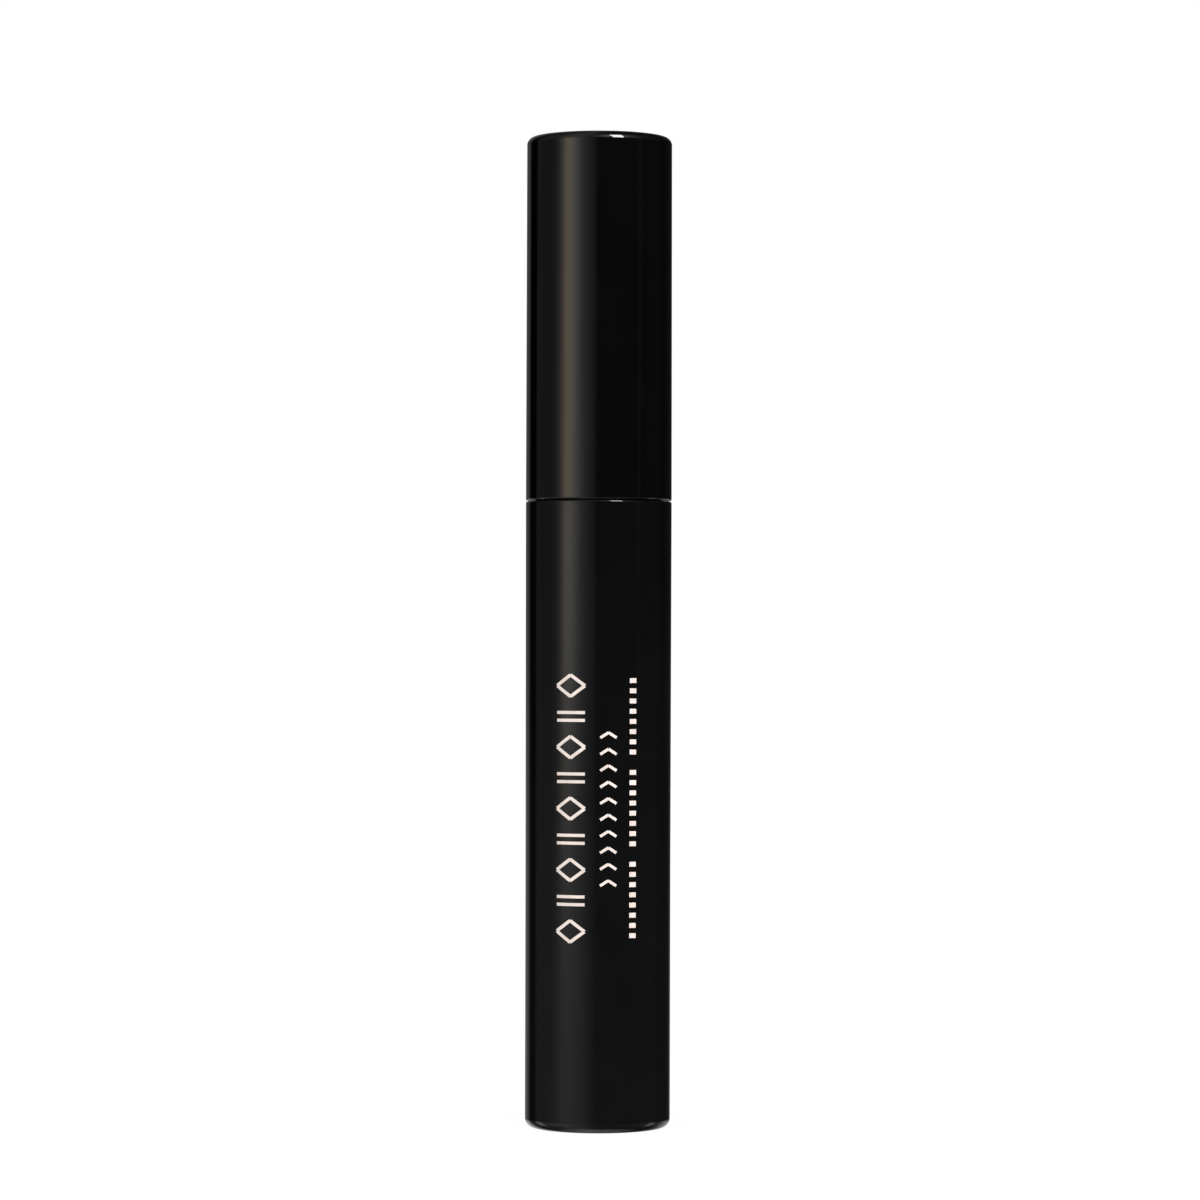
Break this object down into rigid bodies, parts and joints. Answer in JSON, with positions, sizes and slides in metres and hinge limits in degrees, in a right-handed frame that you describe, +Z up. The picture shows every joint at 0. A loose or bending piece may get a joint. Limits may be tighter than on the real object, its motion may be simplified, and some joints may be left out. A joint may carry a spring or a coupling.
{
  "type": "mascara tube",
  "caption": "Slim round gloss black mascara tube with a matching screw cap that carries the wand and brush, and a wiper in the threaded neck.",
  "frame": {"origin": "centre of the ring that the tube stands on", "axes": "+Z up along the axis of the tube and cap; the foil print faces -Y"},
  "size_m": [0.0172, 0.0172, 0.116],
  "materials": {
    "gloss_black": "gloss moulded",
    "inner_black": "satin moulded polypropylene",
    "wiper_black": "soft satin polyethylene",
    "washer_foam": "matt foamed polyethylene",
    "rod_black": "semi-gloss moulded",
    "weight_steel": "turned, zinc plated",
    "wire_steel": "drawn stainless",
    "bristle_nylon": "fine nylon fibre",
    "cream_black": "wet cream",
    "label_paper": "satin label film",
    "foil_rose": "hot-stamped foil"
  },
  "bodies": {
    "tube": {"outer_tube": "gloss_black", "base_label": "label_paper", "inner_bottle": "inner_black", "wiper": "wiper_black", "cream": "cream_black"},
    "washer": {"sealing_washer": "washer_foam"},
    "weight": {"cap_weight": "weight_steel"},
    "cap": {"cap_shell": "gloss_black", "cap_insert": "inner_black", "wand_rod": "rod_black", "brush_wire": "wire_steel", "brush_bristles": "bristle_nylon"}
  },
  "joints": [
    {"name": "wand_pull", "type": "slide", "parent": "tube", "child": "washer", "axis": [0, 0, 1], "range_m": [0, 0.085], "deforming": ["brush_bristles"]},
    {"name": "cap_rise", "type": "slide", "parent": "washer", "child": "weight", "axis": [0, 0, 1], "range_m": [0, 0.00375]},
    {"name": "cap_turn", "type": "hinge", "parent": "weight", "child": "cap", "pos_m": [0, 0, 0], "axis": [0, 0, 1], "range_deg": [0, 540]}
  ],
  "couplings": [
    {"joint": "cap_rise", "follows": "cap_turn", "m_per_rad": 0.00039789}
  ]
}
